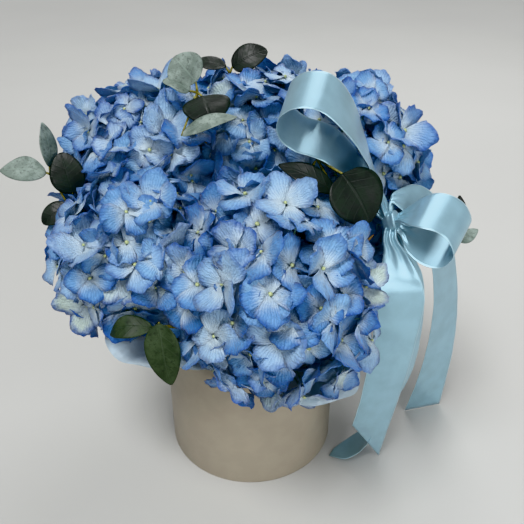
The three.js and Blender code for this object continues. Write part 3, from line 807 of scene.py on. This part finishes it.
def make_heads(settings):
    skin = sepal_skin(settings)
    bead_skin = plant_skin("Floret bead", settings.bead, 0.4, 1.2)
    stalk_skin = plant_skin("Floret stalk", settings.stalk, 0.6, 3)
    heads = [Head(name) for name in HEADS]
    clear = kept_clear()
    for number, head in enumerate(heads):
        rng = random.Random(61 + number)
        outer = list(floret_places(head, heads, settings.per_head, OUTER_DEPTH, rng, clear))
        inner = list(floret_places(head, heads, settings.per_head // 2, INNER_DEPTH, rng, clear))
        petals, beads, stalks = bmesh.new(), bmesh.new(), bmesh.new()
        layers = petals.loops.layers.uv.new("UVMap"), petals.verts.layers.float_color.new("floret")
        root = head.middle - Vector((0.25 * head.middle.x, 0.25 * head.middle.y, 0.45 * head.below))
        for point, facing in outer + inner:
            size = settings.floret * rng.uniform(0.88, 1.12)
            add_floret(petals, layers, point, facing, size, rng)
            bead = Matrix.Translation(point + facing * mm(BEAD_RAISED))
            radius = mm(rng.uniform(*BEAD_RADIUS))
            bmesh.ops.create_icosphere(beads, subdivisions=1, radius=radius, matrix=bead)
            stray = Vector([rng.uniform(-1, 1) for _ in range(3)]) * mm(BRANCH_STRAY)
            joint = point.lerp(root, 0.45) + stray
            add_rod(stalks, joint, point, mm(STALK_RADIUS))
            add_rod(stalks, root, joint, mm(BRANCH_RADIUS), end_share=0.55)
        finished(petals, f"sepals_{head.name}", skin, [f"head_{head.name}"],
                 thickness=mm(SEPAL_THICKNESS))
        finished(beads, f"beads_{head.name}", bead_skin)
        finished(stalks, f"stalks_{head.name}", stalk_skin)


# ---------------------------------------------------------------- stems
def make_stems(settings):
    skin = plant_skin("Green flower stem", settings.stem, 0.6, 6)
    for name in HEADS:
        rounded(f"stem_{name}", f"flower_stem_{name}", skin)


# ---------------------------------------------------------------- eucalyptus sprigs
# The tip of each sprig's stem, and its leaves from there: where a leaf springs, where it ends, its
# width, the way its upper face looks, its skin, where it is widest, and its arch.
SPRIGS = {
    "left": ((-153, 0, 262), (
        ((-3, -1, 2), (-35, -8, 7), 21, (0.1, -0.55, 0.8), "young", 0.45, 0.1),
        ((-1, 3, 5), (-4, 10, 38), 17, (0.9, -0.4, 0.1), "young", 0.45, 0.1),
        ((17, -7, -13), (10, 2, 17), 25, (0.2, -0.9, 0.5), "old", 0.45, 0.1),
        ((14, -13, -21), (-6, -21, -31), 18, (0, -0.6, 0.8), "old", 0.45, 0.1))),
    "back_left": ((-39, 26, 318), (
        ((-1, 3, 7), (-17, 7, 25), 29, (-0.1, -0.75, 0.66), "young", 0.5, 0.1),
        ((-5, -5, 3), (-25, -2, 10), 20, (0.1, -0.2, 1), "young", 0.45, 0.1),
        ((4, -8, 0), (12, -24, -15), 36, (0.1, -0.6, 0.85), "old", 0.45, 0.1),
        ((-10, -33, -22), (31, -31, -9), 17, (0, -0.3, 1), "young", 0.45, 0.1))),
    "back": ((-16, 66, 322), (
        ((-3, 3, 4), (-29, 7, 7), 14, (0, -0.5, 0.9), "old", 0.45, 0.1),
        ((2, 3, 4), (30, 7, 17), 22, (-0.2, -0.75, 0.66), "old", 0.45, 0.1))),
    "middle": ((50, -22, 284), (
        ((12, -30, -13), (-28, -13, 1), 17, (0.1, -0.6, 0.8), "old", 0.45, 0.1),
        ((15, -31, 2), (35, -40, -31), 42, (0.35, -0.8, 0.55), "old", 0.4, 0.1))),
    "front_left": ((-64, -93, 186), (
        ((-3, -3, 1), (-36, 5, -11), 17, (-0.1, -0.5, 0.86), "dull", 0.45, 0.22),
        ((2, -4, 6), (8, -12, -44), 25, (-0.1, -0.95, 0.25), "dull", 0.38, 0.1))),
    "right": ((176, 29, 188), (
        ((3, 2, 4), (2, 9, 38), 15, (0.3, -0.9, 0.3), "old", 0.45, 0.1),
        ((4, -2, 0), (19, -4, 12), 11, (0.2, -0.8, 0.6), "young", 0.45, 0.1))),
}


LEAF_GRID = (12, 22)  # squares across and along
LEAF_THICKNESS, LEAF_STALK_RADIUS = 0.45, 1.1  # in millimetres
BROAD = 0.7  # a leaf wider than this share of its length has a blunter outline


def leaves():
    """Every leaf as (sprig, base, tip, the rest of its form)."""
    for sprig, (stem_tip, entries) in SPRIGS.items():
        for start, end, *form in entries:
            yield sprig, mm(*stem_tip) + mm(*start), mm(*stem_tip) + mm(*end), form


def make_leaf(name, node, base, tip, form, skins, number):
    """A leathery leaf: a grid rounded to a pointed oval, folded at the midrib and arched."""
    width, facing, skin, widest, arch = form
    rng = random.Random(number)
    along = (tip - base).normalized()
    across = along.cross(Vector(facing)).normalized()
    up = across.cross(along)
    long = (tip - base).length
    bulge = math.log(0.5) / math.log(widest)
    blunt = 0.55 if mm(width) > BROAD * long else 0.78
    bm = bmesh.new()
    uv = bm.loops.layers.uv.new("UVMap")
    columns, rows = LEAF_GRID
    bmesh.ops.create_grid(bm, x_segments=columns, y_segments=rows, size=0.5, calc_uvs=True)
    phase, wave, curl = rng.uniform(0, 6), rng.uniform(0.3, 0.9), rng.uniform(-1.6, 1.2)
    for vert in bm.verts:
        share, side = vert.co.y + 0.5, 2 * vert.co.x
        outline = math.sin(math.pi * min(share, 0.995) ** bulge) ** blunt if share > 0 else 0
        half = mm(0.5) + mm(width) / 2 * outline
        out = side * half
        rise = 0.09 * abs(out) ** 1.15 + arch * long * math.sin(math.pi * share)
        rise += mm(wave) * side**2 * math.sin(7 * share + phase) + mm(curl) * share**3
        point = base + along * (share * long) + across * out + up * rise
        for loop in vert.link_loops:
            loop[uv].uv = (0.5 + 0.5 * side, share)
        vert.co = point
    finished(bm, name, skins[skin], [node], thickness=mm(LEAF_THICKNESS))


def make_sprigs(settings):
    skins = {
        "young": leaf_skin("Young eucalyptus leaf with bloom", settings.young_leaf,
                           settings.young_bloom, 0.62, 0.4),
        # The old skin carries painted shade: it is darker for the leaves among the heads.
        "old": leaf_skin("Old eucalyptus leaf with painted shade", settings.shaded_old_leaf, settings.shaded_old_bloom, 0.52, 0.3),
        "dull": leaf_skin("Dull lower eucalyptus leaf", settings.dull_leaf, settings.dull_bloom,
                          0.6, 0.3),
    }
    bark = long_grain("Young eucalyptus bark", settings.twig, 0.6, 1.6, 0.25, 0.5)
    counts = {}
    for number, (sprig, base, tip, form) in enumerate(leaves()):
        counts[sprig] = counts.get(sprig, 0) + 1
        name = f"{sprig}_{counts[sprig]}"
        make_leaf(f"leaf_{name}", f"sprig_{sprig}_leaf_{counts[sprig]}", base, tip, form,
                  skins, number)
    for sprig, (stem_tip, entries) in SPRIGS.items():
        rounded(f"sprig_{sprig}_stem", f"twig_{sprig}", bark)
        bm = bmesh.new()
        for start, *_ in entries:
            tip = mm(*stem_tip)
            add_rod(bm, tip, tip + mm(*start), mm(LEAF_STALK_RADIUS), sides=8)
        finished(bm, f"leaf_stalks_{sprig}", bark)


# ---------------------------------------------------------------- satin bow
# Stations of each strip: the middle, the way across, and the width as a share of the full one.
# Loops are given from the knot. Tails are given as azimuth, distance beyond the wall, and height
# as a share of the knot's height.
KNOT = (108, -28, 236)
LOOPS = {
    "upper": (
        (-5, 4, 11, 0.3, 0.9, 0.3, 0.35), (-13, -1, 30, 0.1, 0.95, 0.15, 0.55),
        (-25, -5, 60, 0.1, 0.95, 0.25, 0.85), (-39, -9, 86, 0.2, 0.9, 0.36, 1),
        (-56, -11, 102, 0.27, 0.88, 0.39, 1), (-73, -7, 102, 0.27, 0.88, 0.39, 1),
        (-83, 1, 91, 0.27, 0.88, 0.39, 1), (-81, 7, 76, 0.27, 0.88, 0.39, 1),
        (-70, 9, 66, 0.27, 0.88, 0.39, 1), (-49, 6, 59, 0.3, 0.88, 0.36, 1),
        (-28, 8, 38, 0.4, 0.8, 0.45, 0.7), (-10, 6, 10, 0.6, 0.6, 0.5, 0.35)),
    "side": (
        (7, -5, 7, 0.45, 0.8, 0.3, 0.35), (14, -11, 14, 0.47, 0.83, 0.31, 0.8),
        (23, -17, 18, 0.47, 0.83, 0.31, 1), (34, -22, 17, 0.47, 0.83, 0.31, 1),
        (43, -25, 10, 0.47, 0.83, 0.31, 1), (47, -26, -1, 0.47, 0.83, 0.31, 1),
        (42, -21, -13, 0.47, 0.83, 0.31, 1), (30, -15, -15, 0.47, 0.83, 0.31, 1),
        (18, -9, -11, 0.47, 0.83, 0.31, 0.8), (10, -3, -6, 0.45, 0.8, 0.3, 0.35)),
}
TAILS = {
    "front": (
        (-19.5, 38, 0.955, 1, -0.1, 0, 0.3), (-21, 45, 0.94, 0.95, -0.2, -0.1, 0.5),
        (-24.4, 51, 0.89, 0.95, -0.1, -0.2, 0.75), (-26.2, 56, 0.82, 0.96, 0, -0.1, 0.95),
        (-28.1, 56, 0.735, 0.97, 0.1, 0.1, 1), (-29.3, 56, 0.62, 0.97, 0.2, 0.1, 1),
        (-29.8, 54, 0.49, 0.97, 0.2, 0.1, 1), (-29.9, 50, 0.365, 0.95, 0.25, 0.1, 1),
        (-29.6, 45, 0.24, 0.95, 0.28, 0.05, 1), (-28, 41, 0.128, 0.95, 0.28, 0, 1)),
    "middle": (
        (-9, 36, 0.94, 0.9, 0.2, 0, 0.3), (-11.6, 46, 0.87, 0.88, 0.3, 0, 0.6),
        (-13.7, 55, 0.8, 0.84, 0.45, 0, 0.9), (-15.7, 62, 0.69, 0.76, 0.6, 0, 1),
        (-17.1, 65, 0.59, 0.72, 0.66, 0, 1), (-18.2, 64, 0.43, 0.72, 0.66, 0, 1),
        (-18, 58, 0.27, 0.66, 0.72, 0.1, 1), (-17, 50, 0.12, 0.5, 0.84, 0.15, 1),
        (-17.5, 40, 0.035, 0.4, 0.9, 0.08, 1), (-22, 26, 0.006, 0.35, 0.93, 0, 0.9),
        (-29, 10, 0.006, 0.5, 0.85, 0, 0.25)),
    "back": (
        (-9, 36, 1.06, 0.3, 0.9, 0.2, 0.35), (-6.5, 47, 1.1, 0.35, 0.9, 0.25, 0.9),
        (-3.5, 62, 1.05, 0.45, 0.83, 0.28, 1), (-1, 77, 0.945, 0.52, 0.82, 0.18, 1),
        (1, 91, 0.77, 0.62, 0.78, 0, 1), (2, 98, 0.64, 0.68, 0.73, 0, 1),
        (3, 102, 0.48, 0.77, 0.63, -0.08, 1), (4, 104, 0.31, 0.84, 0.51, -0.18, 1),
        (5, 103, 0.16, 0.9, 0.4, -0.18, 1), (6, 97, 0.003, 0.97, 0.22, 0, 1)),
}
TAIL_SLANT = {"tail_front": 58}  # how far an end is cut aslant, in millimetres
TAIL_EASING = 3  # times that a tail's middle line is smoothed
STRIP_COLUMNS, STRIP_ROWS = 12, 10  # squares across a strip, and from each station to the next
GATHER, SWAY, RIPPLE = 1.6, 0.8, 0.12  # depths of a strip's folds, in millimetres
KNOT_AXIS = (0.72, -0.45, 0.35)  # the way the ribbon runs through the knot


def tucked(station, knot):
    """A station inside the knot, where a strip comes out of it."""
    middle, across, width = station
    return knot.lerp(middle, 0.3), across, 0.8 * width


def strips():
    """The stations of every strip, as (middle, across, width) in metres."""
    knot = mm(*KNOT)
    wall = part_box("box_wall")[1].x
    width = bpy.context.scene.flower_box.ribbon.width
    made = {}
    for name, rows in LOOPS.items():
        stations = [
            (knot + mm(x, y, z), Vector((a, b, c)).normalized(), width * share)
            for x, y, z, a, b, c, share in rows]
        made[f"loop_{name}"] = [tucked(stations[0], knot), *stations, tucked(stations[-1], knot)]
    for name, rows in TAILS.items():
        stations = []
        for azimuth, beyond, height, a, b, c, share in rows:
            angle, out = math.radians(azimuth), wall + mm(beyond)
            middle = Vector((out * math.cos(angle), out * math.sin(angle),
                             max(knot.z * height, mm(1))))
            stations.append((middle, Vector((a, b, c)).normalized(), width * share))
        middles = [station[0] for station in stations]
        for _ in range(TAIL_EASING):
            eased = [(a + 2 * b + c) / 4 for a, b, c in zip(middles, middles[1:], middles[2:])]
            middles = [middles[0], *eased, middles[-1]]
        stations = [(middle, *station[1:]) for middle, station in zip(middles, stations)]
        made[f"tail_{name}"] = [tucked(stations[0], knot), *stations]
    return made


def make_strip(name, stations, settings, satin):
    """A strip of ribbon: a long grid laid along its stations, with a raised selvedge."""
    middles = [station[0] for station in stations]
    edges = [middle + across * width / 2 for middle, across, width in stations]
    long = sum((b - a).length for a, b in zip(middles, middles[1:]))
    rows = STRIP_ROWS * (len(stations) - 1)
    bm = bmesh.new()
    uv = bm.loops.layers.uv.new("UVMap")
    bmesh.ops.create_grid(bm, x_segments=STRIP_COLUMNS, y_segments=rows, size=0.5, calc_uvs=True)
    slant = mm(TAIL_SLANT.get(name, 0))
    for vert in bm.verts:
        share, side = vert.co.y + 0.5, 2 * vert.co.x
        side = math.copysign(1 - (1 - abs(side)) ** 1.25, side)
        middle = smooth_path(middles, share)
        along = smooth_path(middles, share + 0.002) - smooth_path(middles, share - 0.002)
        along.normalize()
        half = smooth_path(edges, share) - middle
        across = half.normalized()
        up = along.cross(across).normalized()
        pinch = 1 - smoothstep(0.3, 0.95, 2 * half.length / settings.width)
        gather = mm(GATHER) * pinch * math.cos(2.5 * math.pi * side)
        if name.startswith("tail"):
            gather *= 1 - smoothstep(0.3, 0.5, share)
        sway = mm(SWAY) * math.sin(5 * share + 2 * len(name)) * side
        run = long * share
        ripple = mm(RIPPLE) * math.sin(run / mm(3.4) + 1.5 * math.sin(run / mm(11)))
        lift = gather + (sway + ripple) * (1 - pinch)
        point = middle + across * (side * half.length) + up * lift
        if slant:
            ending = smoothstep(0.5, 1.0, share) ** 2
            point += along * (ending * slant * side / 2)
            run += ending * slant * side / 2
        for loop in vert.link_loops:
            loop[uv].uv = (0.5 + 0.5 * side, run / mm(1))
        vert.co = point
        vert.co.z = max(vert.co.z, mm(0.3))
    piece = finished(bm, f"satin_{name}", satin, [f"ribbon_{name}"],
                     thickness=settings.thickness)


def make_bow(settings):
    satin = satin_weave(settings)
    birch = long_grain("Raw birch", settings.pick, 0.75, 0.8, 0.12, 0.7)
    knot = mm(*KNOT)
    bm = bmesh.new()
    uv = bm.loops.layers.uv.new("UVMap")
    bmesh.ops.create_uvsphere(bm, u_segments=32, v_segments=20, radius=1, calc_uvs=True)
    low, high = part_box("ribbon_knot")
    radii = (high - low) / 2
    for vert in bm.verts:
        wrap = vert.co.dot(Vector(KNOT_AXIS))
        fold = 1 + 0.06 * math.cos(11 * wrap + 1.3 * vert.co.z)
        waist = 0.9 - 0.1 * math.exp(-((wrap / 0.3) ** 2))
        vert.co = knot + Vector([vert.co[i] * radii[i] * fold * waist for i in range(3)])
    for face in bm.faces:
        for loop in face.loops:
            loop[uv].uv = (loop[uv].uv.y, loop[uv].uv.x * 60)
    finished(bm, "satin_knot", satin, ["ribbon_knot"])
    for name, stations in strips().items():
        make_strip(name, stations, settings, satin)
    rounded("bow_pick", "birch_bow_pick", birch)


# ---------------------------------------------------------------- stage
CAMERA_PLACE = (10.2, -464, 466)
CAMERA_DOWN = 31.4  # degrees below level
LENS, SENSOR = 44.66, 36
FLOOR_SIZE = 6  # half a side, in metres
SUN = (-0.45, -0.6, 1.6)  # where the soft main light comes from
SUN_STRENGTH = 2.75
SUN_ANGLE = 26  # degrees across, for soft shadows
AIM = (0, 0, 0.15)  # where the lamps point, in metres
SKY_COLOUR, SKY_STRENGTH = (0.78, 0.8, 0.83, 1), 0.34
LIGHTS = (  # name, place in metres, size, watts, colour
    ("fill", (1.3, -1.2, 1.0), 1.0, 8, (0.96, 0.98, 1)),
    ("window", (0.62, -1.6, 0.6), 0.7, 9, (1, 1, 1)),
    ("back", (0.3, 1.1, 1.5), 0.9, 11, (1, 1, 1)),
)


def make_stage(settings):
    scene = bpy.context.scene
    bm = bmesh.new()
    bmesh.ops.create_grid(bm, x_segments=1, y_segments=1, size=FLOOR_SIZE)
    mesh = bpy.data.meshes.new("floor")
    bm.to_mesh(mesh)
    bm.free()
    floor = bpy.data.objects.new("floor", mesh)
    scene.collection.objects.link(floor)
    mesh.materials.append(floor_plaster(settings))

    lens = bpy.data.cameras.new("camera")
    lens.lens, lens.sensor_width = LENS, SENSOR
    lens.clip_start = 0.01
    camera = bpy.data.objects.new("camera", lens)
    camera.location = mm(*CAMERA_PLACE)
    camera.rotation_euler = (math.radians(90 - CAMERA_DOWN), 0, 0)
    scene.collection.objects.link(camera)
    scene.camera = camera

    for name, place, size, watts, tint in LIGHTS:
        light = bpy.data.lights.new(name, "AREA")
        light.shape, light.size, light.energy, light.color = "DISK", size, watts, tint
        lamp = bpy.data.objects.new(name, light)
        lamp.location = place
        aim = Vector(AIM) - lamp.location
        lamp.rotation_euler = aim.to_track_quat("-Z", "Y").to_euler()
        scene.collection.objects.link(lamp)

    light = bpy.data.lights.new("sky", "SUN")
    light.energy, light.angle = SUN_STRENGTH, math.radians(SUN_ANGLE)
    lamp = bpy.data.objects.new("sky", light)
    lamp.rotation_euler = (-Vector(SUN)).to_track_quat("-Z", "Y").to_euler()
    scene.collection.objects.link(lamp)

    world = bpy.data.worlds.new("studio")
    world.use_nodes = True
    background = world.node_tree.nodes["Background"]
    background.inputs[0].default_value = SKY_COLOUR
    background.inputs[1].default_value = SKY_STRENGTH
    scene.world = world
    scene.view_settings.view_transform = "Khronos PBR Neutral"


# ---------------------------------------------------------------- operators
def settings():
    return bpy.context.scene.flower_box


class FLOWERBOX_OT_stage(bpy.types.Operator):
    """Add the floor, the lights and the camera"""

    bl_idname = "flowerbox.stage"
    bl_label = "Stage"

    def execute(self, context):
        make_stage(settings().stage)
        return {"FINISHED"}


class FLOWERBOX_OT_box(bpy.types.Operator):
    """Make the paper-covered wall and the base of the hat box"""

    bl_idname = "flowerbox.box"
    bl_label = "Hat box"

    def execute(self, context):
        make_box(settings().box)
        return {"FINISHED"}


class FLOWERBOX_OT_lining(bpy.types.Operator):
    """Finish the liner cup and the floral foam"""

    bl_idname = "flowerbox.lining"
    bl_label = "Liner and foam"

    def execute(self, context):
        make_lining(settings().film, settings().foliage)
        return {"FINISHED"}


class FLOWERBOX_OT_film(bpy.types.Operator):
    """Make the frosted film collar over the rim"""

    bl_idname = "flowerbox.film"
    bl_label = "Film collar"

    def execute(self, context):
        make_film(settings().film, settings().box.wall)
        return {"FINISHED"}


class FLOWERBOX_OT_heads(bpy.types.Operator):
    """Make the florets of the five flower heads"""

    bl_idname = "flowerbox.heads"
    bl_label = "Flower heads"

    def execute(self, context):
        make_heads(settings().bloom)
        return {"FINISHED"}


class FLOWERBOX_OT_stems(bpy.types.Operator):
    """Make the stems of the flower heads"""

    bl_idname = "flowerbox.stems"
    bl_label = "Flower stems"

    def execute(self, context):
        make_stems(settings().foliage)
        return {"FINISHED"}


class FLOWERBOX_OT_sprigs(bpy.types.Operator):
    """Make the eucalyptus sprigs and their leaves"""

    bl_idname = "flowerbox.sprigs"
    bl_label = "Eucalyptus"

    def execute(self, context):
        make_sprigs(settings().foliage)
        return {"FINISHED"}


class FLOWERBOX_OT_bow(bpy.types.Operator):
    """Make the satin bow with its loops, tails, knot and pick"""

    bl_idname = "flowerbox.bow"
    bl_label = "Satin bow"

    def execute(self, context):
        make_bow(settings().ribbon)
        return {"FINISHED"}


OPERATORS = (
    FLOWERBOX_OT_stage, FLOWERBOX_OT_box, FLOWERBOX_OT_lining, FLOWERBOX_OT_film,
    FLOWERBOX_OT_heads, FLOWERBOX_OT_stems, FLOWERBOX_OT_sprigs, FLOWERBOX_OT_bow,
)


class FLOWERBOX_PT_panel(bpy.types.Panel):
    """The flower box's pieces and settings"""

    bl_label = "Flower box"
    bl_idname = "FLOWERBOX_PT_panel"
    bl_space_type = "VIEW_3D"
    bl_region_type = "UI"
    bl_category = "Flower box"

    def draw(self, context):
        for operator in OPERATORS:
            self.layout.operator(operator.bl_idname)
        for group in ("box", "film", "bloom", "foliage", "ribbon", "stage"):
            column = self.layout.box().column()
            values = getattr(context.scene.flower_box, group)
            for key in values.bl_rna.properties.keys():
                if key not in ("rna_type", "name"):
                    column.prop(values, key)


CLASSES = (
    BoxSettings, FilmSettings, BloomSettings, FoliageSettings, RibbonSettings, StageSettings,
    FlowerBoxSettings, *OPERATORS, FLOWERBOX_PT_panel,
)


def register():
    for each in CLASSES:
        bpy.utils.register_class(each)
    bpy.types.Scene.flower_box = PointerProperty(type=FlowerBoxSettings)


def unregister():
    del bpy.types.Scene.flower_box
    for each in reversed(CLASSES):
        bpy.utils.unregister_class(each)


def main():
    register()
    bpy.ops.flowerbox.stage()
    bpy.ops.flowerbox.box()
    bpy.ops.flowerbox.lining()
    bpy.ops.flowerbox.film()
    bpy.ops.flowerbox.heads()
    bpy.ops.flowerbox.stems()
    bpy.ops.flowerbox.sprigs()
    bpy.ops.flowerbox.bow()


if __name__ == "__main__":
    main()
